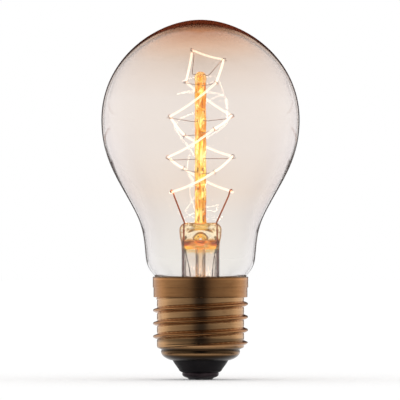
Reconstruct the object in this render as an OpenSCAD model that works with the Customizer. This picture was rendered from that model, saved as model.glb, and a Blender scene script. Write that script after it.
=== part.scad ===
// Decorative filament lamp with a pear-shaped bulb and a 27 mm screw cap, stood cap down.
// Millimetres, +Z up the lamp's axis, origin at the middle of the centre contact's face.

/* [Bulb] */
// Overall height, from the centre contact to the crown
lamp_h = 100; // [99.5:0.1:101]
// Largest diameter of the bulb
bulb_d = 55.1; // [54.8:0.1:55.6]
// Height of the bulb's widest ring
equator_z = 72.2; // [72:0.1:72.8]
// Diameter of the neck just above the cap
neck_d = 30.4; // [30.2:0.1:30.8]
// Thickness of the bulb's glass, from the neck to the widest ring
glass_t = 0.5; // [0.45:0.05:0.7]
// Thickness of the glass at the crown
crown_t = 0.9; // [0.6:0.05:1.1]

/* [Screw cap] */
// Diameter over the thread's crests
thread_d = 26.4; // [26.15:0.05:26.45]
// Diameter at the thread's roots
root_d = 24.2; // [24.15:0.05:24.3]
// Pitch of the thread
thread_pitch = 3.629; // [3.6:0.001:3.65]
// Thickness of the sheet brass
shell_t = 0.33; // [0.3:0.01:0.35]
// Diameter of the collar above the thread
collar_d = 26.52; // [26.5:0.01:26.56]
// Height of the cap's rim
rim_z = 28.6; // [28.5:0.05:28.9]

/* [Stem] */
// Diameter of the flare tube
flare_d = 10.5; // [10.4:0.1:10.8]
// Width of the flattened press
press_w = 11.7; // [11.5:0.1:12]
// Diameter of the exhaust tube
exhaust_d = 2.8; // [2.6:0.1:3]
// Diameter of the glass rod
rod_d = 3.2; // [3:0.1:3.3]
// Height of the rod's top
rod_z = 85.7; // [85.5:0.1:86]

/* [Wires] */
// Outer diameter of the filament's fine coil
filament_d = 0.6; // [0.5:0.02:0.62]
// Diameter of the support wires
support_d = 0.18; // [0.14:0.02:0.26]
// Diameter of the inner leads and the seal wires
lead_d = 0.45; // [0.4:0.01:0.5]
// Diameter of the outer leads
outer_lead_d = 0.26; // [0.2:0.02:0.28]
// How far a span of filament sags, as a share of its length
sag = 0.035; // [0:0.005:0.05]

/* [Hidden] */
HOOKS = ["01", "02", "03", "04", "05", "06", "07", "08", "09", "10", "11", "12"];
$fn = 96;

glass_color = [0.93, 0.80, 0.68, 0.35];
stem_color = [0.96, 0.72, 0.40, 0.7];
rod_color = [1.0, 0.66, 0.20];
support_color = [0.42, 0.34, 0.32];
filament_color = [1.0, 0.95, 0.80];
lead_color = [0.62, 0.32, 0.20];
copper_color = [0.45, 0.25, 0.20];
brass_color = [0.60, 0.43, 0.29];
cement_color = [0.80, 0.76, 0.68];
black_color = [0.09, 0.08, 0.09];
contact_color = [0.30, 0.24, 0.26];
solder_color = [0.55, 0.53, 0.54];

// Small step by which a cutter passes the face it cuts through
eps = 0.01;

// The bulb's outline, on [radius, height] points
bulb_r = bulb_d / 2;
neck_r = neck_d / 2;
neck_z = 33.8;
crown_reach = 12.4; // how far the crown runs out flat before it turns down
crown_drop = 16.9; // how far above the widest ring the side starts to turn in
belly_drop = 11.4; // how far below the widest ring it starts to turn in
crown_from = 84; // height above which the glass thickens towards the crown
shoulder = [17.95, 46.2]; // where the belly's curve turns into the neck's
shoulder_dir = [0.446, 0.895]; // the outline's slope there
belly_pull = 9.5; // length of the belly's curve handle at the shoulder
throat_pull = 5.3; // length of the neck's curve handle at the shoulder
seat_r = 12.3; // the neck's radius where it turns inside the cap
seat_z = 28.2;
sleeve_r = 11.1; // the neck's radius inside the thread
sleeve_z = 25.2; // height from which the neck is straight
seal_z = 18.6; // height of the neck's end, sealed to the flare

// The cap, down its outline
crest_r = thread_d / 2;
root_r = root_d / 2;
collar_r = collar_d / 2;
waist_r = collar_r - 0.21; // radius of the collar's lower band
band_z = 25.6; // height of the step between the collar's two bands
step_h = 0.4; // height of that step
thread_rows = 14; // rows of facets in a turn of thread
rows_below = 18; // rows from the crest at angle 0 down to the thread's end
rows_above = 35; // rows from that crest up to the thread's other end
thread_steps = 48; // facets round the thread
crest_w = 0.75; // half the width of a crest at its foot
crest_w_in = 0.62; // the same inside the sheet, which keeps its thickness in the flanks
crest_round = 2.6; // how round a crest's top is: 2 and above
crest_foot = 1.4; // how gently a crest's flanks run out at its foot: 1 and above
groove_t = 0.12; // depth of the shallow groove that the rolling leaves beside each crest
groove_w = 0.35; // width in which that groove rises to the root
row_h = thread_pitch / thread_rows;
crest_z = 13.78; // height of a crest at angle 0
thread_lo = crest_z - rows_below * row_h;
thread_hi = crest_z + rows_above * row_h;
fade_h = 1.3; // height in which the thread runs out at each end
lip_z = 7.7; // height at which the lip turns in
lip_r = 11;
lip_end = [8.2, 5.4]; // where the turned-in lip ends on the insulator
cement_top = 28.3;
cement_bottom = 24;
lead_slot = outer_lead_d + 0.1; // width of the slot in the cement for the side lead
solder_ball_r = 1.1; // radius of the side lead's solder before the collar and neck trim it

// The insulator and the contact
cone_r = 7.85; // radius of the insulator where it leaves the lip
plate_r = 5.1;
plate_z = 2; // height of the insulator's lower face
bead_r = 3.6; // radius of the solder bead on the contact plate
bead_z = 0.45; // height of the face that the bead sits on
flat_r = 2.8; // radius of the bead's flat, which the lamp touches its holder with
plate_seat_r = plate_r - 0.1; // radius of the plate's upper face
insulator_top = thread_lo - 0.4; // height to which the insulator fills the shell
eyelet_r = 1.4;
eyelet_bore_r = 1.1;
eyelet_top = 5;
solder_top = 3.4; // height to which the solder fills the eyelet
centre_lead_end = 0.8; // height of the centre lead's end, in the solder

// The stem
tube_r = flare_d / 2;
tube_t = 0.67;
bore_r = tube_r - tube_t;
flange_t = 0.6;
press_top = 43.7;
stem_sides = 28;
exhaust_r = exhaust_d / 2;
exhaust_bore_r = 0.85;
exhaust_top = 38.9;
exhaust_tip = 12.6;
blow_hole_r = 2.05; // radius of the half-round blow hole, whose floor is at exhaust_top
rod_r = rod_d / 2;
rod_foot = 42.2;
button_r = rod_r + 0.2;
lead_x = 4.43; // distance of each seal wire from the axis
seal_wire_lo = 38;
seal_wire_hi = 42.8;
side_lead_gap = 0.1; // gap between the side lead and the bulb's neck
side_lead_top = 0.3; // length of the side lead's last stretch, inside its solder

// The filament hangs on these corners: [angle, distance from the axis, height]
left_tip = [180, 7.9, 52.2];
right_tip = [0, 8.4, 52.4];
corners = [
    right_tip,
    [123, 8.7, 58.7],
    [180, 9.0, 61.8],
    [-64, 8.7, 69.6],
    [0, 8.7, 73.3],
    [118, 8.6, 82.8],
    [180, 2.3, 92.0],
    [0, 6.5, 89.3],
    [-60, 8.7, 82.4],
    [180, 8.5, 73.1],
    [121, 8.7, 67.9],
    [0, 8.9, 62.0],
    [-64, 8.7, 57.7],
    left_tip];
// Height at which each corner's support wire leaves the rod, in the same order
support_z = [0, 57.7, 61.2, 68.6, 71.9, 81.9, 84.9, 84.6, 81.7, 71.7, 68.0, 61.4, 57.3, 0];
support_depth = 1.1; // length of a support wire inside the rod
support_reach = 0.35; // distance past the button at which a support wire bends
curl_r = 0.6; // radius of a support wire's curl
curl_from = -90; // angle at which a curl starts, under the filament
curl_inset = 0.05; // how far inside its corner a curl's middle lies
curl_entry = 0.7; // length of the straight stretch before a curl
curl_steps = 12;
curl_rise = 0.36; // distance that a curl's end stands beside its start
tail = 0.9; // length of the straight end past a curl
fold_turn = 220; // angle through which an inner lead is folded over the filament
fold_gap = 0.02; // gap between a fold and the filament
fold_steps = 9;
fold_lean = [0.33, 1.1]; // how far a lead leans towards its fold, and over what height
filament_r = filament_d / 2;
support_r = support_d / 2;
lead_r = lead_d / 2;
outer_lead_r = outer_lead_d / 2;
corner_round = 0.6; // distance from a corner at which the filament starts to turn
corner_cut = 0.15; // distance by which the turn passes inside the corner
span_steps = 5; // rings of facets in a span
filament_end = 0.9; // length of filament past each lead's fold

function unit(v) = v / norm(v);
function polar(p) = [p[1] * cos(p[0]), p[1] * sin(p[0]), p[2]];
function smooth(t) = let (s = min(max(t, 0), 1)) s * s * (3 - 2 * s);

// A cubic curve from a to d, with handles b and c
function bezier(a, b, c, d, n) = [
    for (i = [0:n])
        let (t = i / n, s = 1 - t)
        a * s * s * s + 3 * b * s * s * t + 3 * c * s * t * t + d * t * t * t];
function reversed(list) = [for (i = [len(list) - 1:-1:0]) list[i]];
function without_last(list) = [for (i = [0:len(list) - 2]) list[i]];

// The outline moved to its right, which is into the glass, by a depth for each point
function inset(path, depths) = [
    for (i = [0:len(path) - 1])
        let (d = unit(path[min(i + 1, len(path) - 1)] - path[max(i - 1, 0)]),
             p = path[i] + depths[i] * [d.y, -d.x])
        [max(p.x, 0), p.y]];
function glass_at(z) = glass_t + (crown_t - glass_t) * smooth((z - crown_from) / (lamp_h - crown_from));

throat_curve = bezier([neck_r, neck_z], [neck_r - 0.3, neck_z - 2.8],
                      [seat_r + 1.3, seat_z + 1.7], [seat_r, seat_z], 8);
sleeve_curve = bezier([seat_r, seat_z], [seat_r - 0.7, seat_z - 0.9],
                      [sleeve_r, sleeve_z + 1.4], [sleeve_r, sleeve_z], 5);
bulb_outline = concat(
    without_last(bezier([0, lamp_h], [crown_reach, lamp_h],
                        [bulb_r, equator_z + crown_drop], [bulb_r, equator_z], 16)),
    without_last(bezier([bulb_r, equator_z], [bulb_r, equator_z - belly_drop],
                        shoulder + belly_pull * shoulder_dir, shoulder, 14)),
    without_last(bezier(shoulder, shoulder - throat_pull * shoulder_dir,
                        [neck_r + 0.43, neck_z + 4], [neck_r, neck_z], 8)),
    without_last(throat_curve),
    sleeve_curve,
    [[sleeve_r, seal_z]]);

// A closed skin over rings of equally many points, with a flat cap on each end
module skin(rings) {
    n = len(rings[0]);
    last = len(rings) - 1;
    polyhedron(
        points = [for (ring = rings) each ring],
        faces = concat(
            [[for (k = [0:n - 1]) k]],
            [for (i = [0:last - 1], k = [0:n - 1])
                let (a = i * n + k, b = i * n + (k + 1) % n)
                each [[a, a + n, b + n], [a, b + n, b]]],
            [[for (k = [n - 1:-1:0]) last * n + k]]),
        convexity = 12);
}

function tangent(path, i) = unit(path[min(i + 1, len(path) - 1)] - path[max(i - 1, 0)]);
function across(v, t) = unit(v - t * (v * t));
function start_side(t) = across(abs(t.z) < 0.9 ? [0, 0, 1] : [1, 0, 0], t);

// A round wire with one ring on each point of its path
module wire(path, radius, sides) {
    sideways = [
        for (i = 0, u = start_side(tangent(path, 0));
             i < len(path);
             i = i + 1, u = across(u, tangent(path, min(i, len(path) - 1))))
            u];
    skin([
        for (i = [0:len(path) - 1])
            let (u = sideways[i], v = cross(tangent(path, i), u))
            [for (k = [0:sides - 1])
                let (a = 360 * k / sides)
                path[i] + radius * (u * cos(a) + v * sin(a))]]);
}

// Points of a curl round an axis through centre along t: out points away from the lamp's axis
function curl(centre, t, out, radius, from, turn, rise, steps) =
    let (w = cross(t, out), up = w.z < 0 ? -w : w)
    [for (i = [0:steps])
        let (a = from + turn * i / steps)
        centre + radius * (out * cos(a) + up * sin(a)) + t * rise * (i / steps - 0.5)];

module bulb_solid() {
    rotate_extrude()
        polygon(concat(bulb_outline, [[0, seal_z]]));
}

module glass_bulb() {
    color(glass_color)
        rotate_extrude()
            polygon(concat(
                bulb_outline,
                reversed(inset(bulb_outline, [for (p = bulb_outline) glass_at(p.y)]))));
}

// One level of the stem: [height, half width, half depth, squareness]
function oval(s) = [
    for (i = [0:stem_sides - 1])
        let (a = 360 * (i + 0.5) / stem_sides, c = cos(a), d = sin(a), e = 2 / s[3])
        [s[1] * sign(c) * pow(abs(c), e), s[2] * sign(d) * pow(abs(d), e), s[0]]];
function round_level(p) = [p.y, p.x, p.x, 2];

press_r = press_w / 2;
stem_outside = concat(
    [round_level([sleeve_r, seal_z - flange_t]), round_level([sleeve_r, seal_z])],
    [for (p = bezier([sleeve_r - glass_t, seal_z], [7.4, seal_z + 0.1],
                     [tube_r, 20.5], [tube_r, 24.5], 7)) round_level(p)],
    [[35.6, tube_r, tube_r, 2],
     [36.5, tube_r + 0.03, 4.3, 2],
     [37.3, tube_r + 0.06, 3.3, 2.1],
     [38.2, tube_r + 0.15, 2.6, 2.2],
     [39.3, press_r - 0.2, 2.2, 2.5],
     [41.2, press_r, 2.05, 2.7],
     [42.2, press_r - 0.05, 1.95, 2.7],
     [42.9, press_r - 0.4, 1.75, 2.6],
     [43.4, press_r - 0.95, 1.4, 2.5],
     [press_top, press_r - 1.8, 0.8, 2.4]]);
stem_inside = concat(
    [for (p = bezier([sleeve_r - glass_t, seal_z - flange_t], [7.2, seal_z - flange_t],
                     [bore_r, 19.8], [bore_r, 24.5], 7)) round_level(p)],
    [[35.4, bore_r, bore_r, 2],
     [36.3, bore_r + 0.05, 3.6, 2],
     [37.2, bore_r + 0.1, 2.1, 2.1],
     [38, bore_r + 0.15, 0.9, 2.2],
     [38.4, bore_r, 0.4, 2.2]]);

module stem_flare() {
    color(stem_color)
        difference() {
            skin([for (s = concat(reversed(stem_inside), stem_outside)) oval(s)]);
            for (side = [-1, 1])
                translate([side * lead_x, 0, seal_wire_lo - 0.5])
                    cylinder(r = lead_r, h = press_top);
            translate([0, 0, exhaust_top - exhaust_d])
                cylinder(r = exhaust_r, h = exhaust_d + eps);
            intersection() {
                translate([0, 0, exhaust_top])
                    rotate([90, 0, 0])
                        cylinder(r = blow_hole_r, h = flare_d, center = true);
                translate([-flare_d / 2, -flare_d / 2, exhaust_top])
                    cube(flare_d);
            }
            translate([0, 0, rod_foot])
                cylinder(r = rod_r, h = press_top);
        }
}

module exhaust_tube() {
    tip = bezier([exhaust_r, exhaust_tip + 2.6], [exhaust_r, exhaust_tip + 1.2],
                 [0.9, exhaust_tip], [0, exhaust_tip], 6);
    hollow = bezier([0, exhaust_tip + 1.1], [0.5, exhaust_tip + 1.2],
                    [exhaust_bore_r, exhaust_tip + 1.8], [exhaust_bore_r, exhaust_tip + 2.8], 5);
    color(stem_color)
        rotate_extrude()
            polygon(concat([[exhaust_r, exhaust_top]], tip, hollow,
                           [[exhaust_bore_r, exhaust_top]]));
}

module glass_rod() {
    color(rod_color)
        difference() {
            rotate_extrude()
                polygon(concat(
                    [[0, rod_foot], [rod_r, rod_foot], [rod_r, rod_z - 2.8]],
                    bezier([button_r, rod_z - 1.9], [button_r, rod_z - 0.7],
                           [0.9, rod_z], [0, rod_z], 7)));
            for (i = [1:len(corners) - 2])
                translate([0, 0, support_z[i]])
                    rotate([0, 90, corners[i][0]])
                        translate([0, 0, rod_r - support_depth])
                            cylinder(r = support_r, h = rod_r);
        }
}

// Direction of the filament as it passes corner i
function passing(i) = unit(polar(corners[i + 1]) - polar(corners[i - 1]));

// The support wire of corner i: out of the rod, under the filament and once round it
function support_path(i) =
    let (c = corners[i],
         e = polar([c[0], 1, 0]),
         t = passing(i),
         out = across(e, t),
         foot = [0, 0, support_z[i]],
         loop = curl(polar(c) - out * curl_inset, t, out, curl_r, curl_from, 360,
                     curl_rise, curl_steps))
    concat(
        [foot + e * (rod_r - support_depth), foot + e * rod_r,
         foot + e * (button_r + support_reach)],
        [loop[0] - out * curl_entry],
        loop,
        [loop[curl_steps] + out * tail]);

module support_hook(i) {
    color(support_color)
        wire(support_path(i), support_r, 6);
}

// A span of filament between two corners, hanging in a shallow curve
function span(a, b) =
    let (d = unit(b - a), from = a + d * corner_round, to = b - d * corner_round)
    [for (i = [0:span_steps])
        let (t = i / span_steps)
        from + (to - from) * t - [0, 0, 4 * sag * norm(to - from) * t * (1 - t)]];

filament_points = [for (c = corners) polar(c)];
filament_last = len(corners) - 1;
function turned_in(i) =
    let (p = filament_points[i],
         mid = (filament_points[i - 1] + filament_points[i + 1]) / 2)
    p + unit(mid - p) * corner_cut;
right_pull = unit(filament_points[0] - filament_points[1]);
left_pull = unit(filament_points[filament_last] - filament_points[filament_last - 1]);
filament_path = concat(
    [filament_points[0] + right_pull * filament_end, filament_points[0]],
    [for (i = [1:filament_last])
        each concat(
            span(filament_points[i - 1], filament_points[i]),
            i < filament_last ? [turned_in(i)] : [])],
    [filament_points[filament_last],
     filament_points[filament_last] + left_pull * filament_end]);

module filament() {
    color(filament_color)
        wire(filament_path, filament_r, 8);
}

// An inner lead: up from its seal wire, out to the filament's end and folded over it
function inner_lead_path(side, tip, pull) =
    let (e = [side, 0, 0],
         out = across(e, pull),
         fold_r = filament_r + lead_r + fold_gap,
         fold = curl(polar(tip), pull, out, fold_r, 180, -fold_turn, 0, fold_steps))
    concat(
        [[side * lead_x, 0, seal_wire_hi], [side * lead_x, 0, press_top - 0.3],
         [side * (lead_x + 0.1), 0, press_top + 0.2]],
        [fold[0] - [side * fold_lean.x, 0, fold_lean.y]],
        fold);

module inner_lead_left() {
    color(lead_color)
        wire(inner_lead_path(-1, left_tip, left_pull), lead_r, 8);
}

module inner_lead_right() {
    color(lead_color)
        wire(inner_lead_path(1, right_tip, right_pull), lead_r, 8);
}

module seal_wire(side) {
    color(lead_color)
        translate([side * lead_x, 0, seal_wire_lo])
            cylinder(r = lead_r, h = seal_wire_hi - seal_wire_lo);
}

// The centre lead kinks below the press, passes the exhaust tube and goes down the axis
centre_lead_path = [
    [-lead_x, 0, seal_wire_lo], [-lead_x, 0, 37.4], [-4.25, 0, 36.2], [-4.1, 0, 35.2],
    [-3.75, 0, 33.7], [-3.7, 0, 33.4], [-3.2, 0, 31.2], [-2.95, 0, 30],
    [-2.7, 0, 27], [-2.5, 0, 22], [-2.3, 0, 16], [-1.9, 0, 13.2], [-1.2, 0, 11],
    [-0.3, 0, 9], [0, 0, 7.6], [0, 0, 6.5], [0, 0, centre_lead_end]];

// The side lead leaves the flare's mouth and climbs outside the neck to the rim, at the back
side_lead_r = sleeve_r + outer_lead_r + side_lead_gap;
climb_curve = concat(without_last(throat_curve), sleeve_curve);
side_lead_climb = [
    for (p = reversed(inset(climb_curve, [for (p = climb_curve) -outer_lead_r - side_lead_gap])))
        if (p.y < cement_top - side_lead_top) [0, p.x, p.y]];
side_lead_path = concat(
    [[lead_x, 0, seal_wire_lo], [lead_x, 0, 37.4], [4.25, 0, 36.2], [4.1, 0, 35.2],
     [3.75, 0, 33.6], [3.45, 0, 31.5], [3.35, 0, 29], [3.3, 0.3, 25], [3.1, 1, 21],
     [2.6, 2.6, 18.6], [1.8, 5, 17.4], [0.9, 8, 17], [0.2, 10.2, 17],
     [0, side_lead_r - 0.2, 17.4], [0, side_lead_r, 18.2]],
    side_lead_climb,
    [[0, side_lead_climb[len(side_lead_climb) - 1].y + side_lead_top / 2, cement_top]]);

module outer_lead_centre() {
    color(copper_color)
        wire(centre_lead_path, outer_lead_r, 6);
}

module outer_lead_side() {
    color(copper_color)
        wire(side_lead_path, outer_lead_r, 6);
}

// Height from a point of the thread to the nearest crest
function crest_gap(a, z) =
    let (turns = (z - crest_z) / thread_pitch - a / 360)
    thread_pitch * abs(turns - round(turns));

// The thread's radius at an angle and a height: right-handed, and faded out at both ends
function thread_radius(a, z, half_w) =
    let (gap = crest_gap(a, z),
         rise = pow(1 - pow(min(gap / half_w, 1), crest_round), crest_foot),
         groove = groove_t * (1 - smooth((gap - crest_w) / groove_w)) * (1 - rise),
         fade = smooth((z - thread_lo) / fade_h) * smooth((thread_hi - z) / fade_h))
    root_r + ((crest_r - root_r) * rise - groove) * fade;

// The facets' rows climb with the thread, and are cut off level at both ends
thread_span = [-rows_below - thread_rows, rows_above];
thread_column = thread_span[1] - thread_span[0] + 1;
function row_z(k, j) = min(max(crest_z + (j + thread_rows * k / thread_steps) * row_h,
                               thread_lo), thread_hi);
function first_row(k) = floor(-rows_below - thread_rows * k / thread_steps + eps);
function last_row(k) = ceil(rows_above - thread_rows * k / thread_steps - eps);
function row_id(k, j) = k * thread_column - thread_span[0] +
    min(max(j, first_row(k)), last_row(k));
function point_id(k, j) = k < thread_steps ? row_id(k, j) : row_id(0, j + thread_rows);

module thread_tube() {
    inner = thread_steps * thread_column;
    points = [
        for (wall = [[0, crest_w], [shell_t, crest_w_in]], k = [0:thread_steps - 1],
             j = [thread_span[0]:thread_span[1]])
            let (a = 360 * k / thread_steps, z = row_z(k, j), r = thread_radius(a, z, wall[1]) - wall[0])
            [r * cos(a), r * sin(a), z]];
    sheet = [
        for (k = [0:thread_steps - 1], j = [thread_span[0]:thread_span[1] - 1])
            let (a = point_id(k, j), b = point_id(k + 1, j),
                 c = point_id(k + 1, j + 1), d = point_id(k, j + 1))
            each concat(b != c ? [[a, c, b]] : [], a != d ? [[a, d, c]] : [])];
    ends = [
        for (k = [0:thread_steps - 1])
            let (a = point_id(k, thread_span[0]), b = point_id(k + 1, thread_span[0]),
                 c = point_id(k, thread_span[1]), d = point_id(k + 1, thread_span[1]))
            each [[a, b, b + inner], [a, b + inner, a + inner],
                  [c, d + inner, d], [c, c + inner, d + inner]]];
    polyhedron(
        points = points,
        faces = concat(sheet, [for (f = sheet) [f[0], f[2], f[1]] + [inner, inner, inner]], ends),
        convexity = 12);
}

// The shell's lower end, outside: in from the thread, out to the lip and in under it
lip_outline = concat(
    [[root_r + 0.02, thread_lo], [10.9, 8.35], [10.8, 8.1]],
    bezier([lip_r, lip_z], [lip_r - 0.2, lip_z - 0.8], [9.9, 5.8], lip_end, 6));
lip_hollow = concat(
    [[root_r - shell_t - 0.07, thread_lo], [10.75, 8.65], [10.45, 8.3]],
    bezier([lip_r - shell_t, lip_z - 0.05], [lip_r - 0.55, lip_z - 0.7], [9.7, 6.15],
           [lip_end.x, lip_end.y + shell_t], 6));

// The collar's two bands, and the ledge that the thread's tube joins
hollow_r = waist_r - shell_t;
ledge_r = root_r - shell_t - 0.1;
collar_outline = [
    [collar_r - shell_t, rim_z], [collar_r, rim_z], [collar_r, band_z + step_h],
    [waist_r, band_z], [waist_r, thread_hi], [ledge_r, thread_hi],
    [ledge_r, thread_hi + shell_t], [hollow_r, thread_hi + shell_t], [hollow_r, band_z],
    [collar_r - shell_t, band_z + step_h]];

module screw_shell() {
    color(brass_color)
        union() {
            rotate_extrude()
                polygon(collar_outline);
            thread_tube();
            rotate_extrude()
                polygon(concat(lip_outline, reversed(lip_hollow)));
        }
}

module basing_cement() {
    color(cement_color)
        difference() {
            rotate_extrude()
                polygon([
                    [sleeve_r - glass_t, cement_bottom], [hollow_r, cement_bottom],
                    [hollow_r, band_z], [collar_r - shell_t, band_z + step_h],
                    [collar_r - shell_t, cement_top], [sleeve_r - glass_t, cement_top]]);
            bulb_solid();
            translate([-lead_slot / 2, sleeve_r - glass_t, cement_bottom - eps])
                cube([lead_slot, collar_r - sleeve_r, cement_top]);
        }
}

// The insulator fills the shell's lip from inside, and its cone stands out below it
insulator_outline = concat(
    [[eyelet_r, plate_z], [plate_seat_r, plate_z], [5.62, plate_z + 0.35],
     [6.1, plate_z + 0.95], [cone_r, lip_end.y - 0.2], [cone_r, lip_end.y], lip_end],
    reversed([for (p = lip_hollow) if (p.y < insulator_top) p]),
    [[10.4, insulator_top - 0.2], [4.5, 7.4], [2.4, 7], [eyelet_r, 6.6]]);

module insulator() {
    color(black_color)
        rotate_extrude()
            polygon(insulator_outline);
}

// The contact is a dished plate with an eyelet that stands in the insulator's hole
contact_outline = concat(
    [[eyelet_r, eyelet_top], [eyelet_r, plate_z], [plate_seat_r, plate_z]],
    bezier([plate_r, plate_z - 0.5], [plate_r + 0.05, 0.95], [4.5, 0.75], [bead_r, bead_z], 6),
    [[eyelet_bore_r, bead_z], [eyelet_bore_r, eyelet_top]]);

module centre_contact() {
    color(contact_color)
        rotate_extrude()
            polygon(contact_outline);
}

// The solder fills the eyelet and spreads into a bead with a worn flat
centre_solder_outline = concat(
    bezier([flat_r, 0], [flat_r + 0.4, 0], [bead_r - 0.15, bead_z - 0.2], [bead_r, bead_z], 5),
    [[eyelet_bore_r, bead_z], [eyelet_bore_r, solder_top - 0.2], [0, solder_top], [0, 0]]);

module centre_solder() {
    color(solder_color)
        difference() {
            rotate_extrude()
                polygon(centre_solder_outline);
            translate([0, 0, centre_lead_end])
                cylinder(r = outer_lead_r, h = solder_top);
        }
}

// The bead fills the corner between the rim and the glass, inside the collar's diameter
module side_solder() {
    color(solder_color)
        difference() {
            intersection() {
                translate([0, collar_r - 0.45, rim_z - 0.1])
                    sphere(r = solder_ball_r);
                rotate_extrude()
                    polygon([
                        [sleeve_r, cement_top], [collar_r - shell_t, cement_top],
                        [collar_r - shell_t, rim_z], [collar_r - 0.03, rim_z],
                        [collar_r - 0.08, rim_z + 0.35], [sleeve_r, rim_z + 0.9]]);
            }
            bulb_solid();
        }
}

glass_bulb();
stem_flare();
exhaust_tube();
glass_rod();
for (i = [0:len(HOOKS) - 1])
    support_hook(i + 1);
filament();
inner_lead_left();
inner_lead_right();
seal_wire(-1);  // seal_wire_left
seal_wire(1);  // seal_wire_right
outer_lead_centre();
outer_lead_side();
screw_shell();
basing_cement();
insulator();
centre_contact();
centre_solder();
side_solder();
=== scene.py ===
import math

import bmesh
import bpy
import numpy as np
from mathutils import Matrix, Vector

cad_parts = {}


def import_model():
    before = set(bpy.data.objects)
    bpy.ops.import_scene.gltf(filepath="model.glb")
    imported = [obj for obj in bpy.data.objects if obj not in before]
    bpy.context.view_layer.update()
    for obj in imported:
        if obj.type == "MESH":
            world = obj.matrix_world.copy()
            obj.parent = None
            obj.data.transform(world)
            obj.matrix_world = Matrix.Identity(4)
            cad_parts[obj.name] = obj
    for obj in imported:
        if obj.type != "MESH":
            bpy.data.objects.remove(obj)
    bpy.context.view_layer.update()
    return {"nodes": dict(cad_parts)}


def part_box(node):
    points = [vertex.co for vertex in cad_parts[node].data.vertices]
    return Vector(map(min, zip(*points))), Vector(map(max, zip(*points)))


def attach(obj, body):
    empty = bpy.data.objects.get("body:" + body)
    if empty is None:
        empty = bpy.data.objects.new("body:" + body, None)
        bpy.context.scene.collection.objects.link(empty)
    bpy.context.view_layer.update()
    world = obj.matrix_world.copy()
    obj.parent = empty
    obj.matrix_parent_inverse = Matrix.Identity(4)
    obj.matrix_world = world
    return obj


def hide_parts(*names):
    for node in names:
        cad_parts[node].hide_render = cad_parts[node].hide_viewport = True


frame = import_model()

MM = 0.001

# Heights and radii of the lamp in millimetres, read off the frame's nodes
def low(node):
    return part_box(node)[0] / MM


def high(node):
    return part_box(node)[1] / MM


LAMP_H = high("glass_bulb").z
BULB_R = high("glass_bulb").x
SEAL_Z = low("glass_bulb").z
RIM_Z = high("screw_shell").z
COLLAR_R = high("screw_shell").x
LIP_Z = low("screw_shell").z
ROD_TOP = high("glass_rod").z
PRESS_TOP = high("stem_flare").z
FLANGE_Z = low("stem_flare").z
EXHAUST_TIP = low("exhaust_tube").z
EXHAUST_TOP = high("exhaust_tube").z
EXHAUST_R = high("exhaust_tube").x

# Curves
TINY = 1e-6


def bezier(a, b, c, d, steps):
    """Points of a cubic curve from a to d with handles b and c."""
    a, b, c, d = (np.array(p, float) for p in (a, b, c, d))
    t = np.linspace(0, 1, steps + 1)[:, None]
    return a * (1 - t) ** 3 + 3 * b * t * (1 - t) ** 2 + 3 * c * t * t * (1 - t) + d * t ** 3


def joined(*runs):
    """Runs of points as one path, without the points that repeat where two runs meet."""
    points = [np.array(runs[0][0], float)]
    for run in runs:
        for p in np.array(run, float):
            if np.linalg.norm(p - points[-1]) > TINY:
                points.append(p)
    return np.array(points)


def smooth(t):
    """A rise from 0 to 1 that starts and ends level."""
    t = np.clip(t, 0, 1)
    return t * t * (3 - 2 * t)


def inset(path, depth):
    """An outline moved to its right by depth, one value or one for each point."""
    path = np.array(path, float)
    ahead = np.vstack([path[1:], path[-1:]]) - np.vstack([path[:1], path[:-1]])
    ahead /= np.linalg.norm(ahead, axis=1)[:, None]
    moved = path + np.stack([ahead[:, 1], -ahead[:, 0]], 1) * np.reshape(depth, (-1, 1))
    moved[:, 0] = np.maximum(moved[:, 0], 0)
    return moved


def spline(points, steps):
    """A smooth path through points, with that many steps between each two."""
    p = np.array(points, float)
    p = np.vstack([2 * p[0] - p[1], p, 2 * p[-1] - p[-2]])
    path = []
    for i in range(1, len(p) - 2):
        gaps = [max(np.linalg.norm(p[i + k + 1] - p[i + k]), TINY) ** 0.5 for k in (-1, 0, 1)]
        into = (p[i] - p[i - 1]) / gaps[0] - (p[i + 1] - p[i - 1]) / (gaps[0] + gaps[1])
        into = (into + (p[i + 1] - p[i]) / gaps[1]) * gaps[1]
        out = (p[i + 1] - p[i]) / gaps[1] - (p[i + 2] - p[i]) / (gaps[1] + gaps[2])
        out = (out + (p[i + 2] - p[i + 1]) / gaps[2]) * gaps[1]
        run = bezier(p[i], p[i] + into / 3, p[i + 1] - out / 3, p[i + 1], steps)
        path.extend(run[:-1])
    path.append(p[-2])
    return np.array(path)


def polar(corner):
    """The point at (angle in degrees, radius, height)."""
    angle, r, z = corner
    return np.array([r * math.cos(math.radians(angle)), r * math.sin(math.radians(angle)), z])


def unit(v):
    return v / np.linalg.norm(v)


def across(v, t):
    """The direction of v, turned to be square to t."""
    return unit(v - t * (v @ t))


def around(steps):
    """That many angles evenly round a circle, in radians."""
    return np.linspace(0, 2 * math.pi, steps, endpoint=False)


# Meshes

def make(name, points, faces, sharp):
    """A smooth object from points in millimetres. Edges sharper than that many degrees stay sharp."""
    mesh = bpy.data.meshes.new(name)
    mesh.from_pydata((np.array(points) * MM).tolist(), [], faces)
    bm = bmesh.new()
    bm.from_mesh(mesh)
    bmesh.ops.remove_doubles(bm, verts=bm.verts, dist=1e-8)
    bmesh.ops.dissolve_degenerate(bm, edges=bm.edges, dist=1e-9)
    bmesh.ops.recalc_face_normals(bm, faces=bm.faces)
    bm.to_mesh(mesh)
    bm.free()
    mesh.polygons.foreach_set("use_smooth", [True] * len(mesh.polygons))
    mesh.set_sharp_from_angle(angle=math.radians(sharp))
    obj = bpy.data.objects.new(name, mesh)
    bpy.context.scene.collection.objects.link(obj)
    return obj


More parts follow.
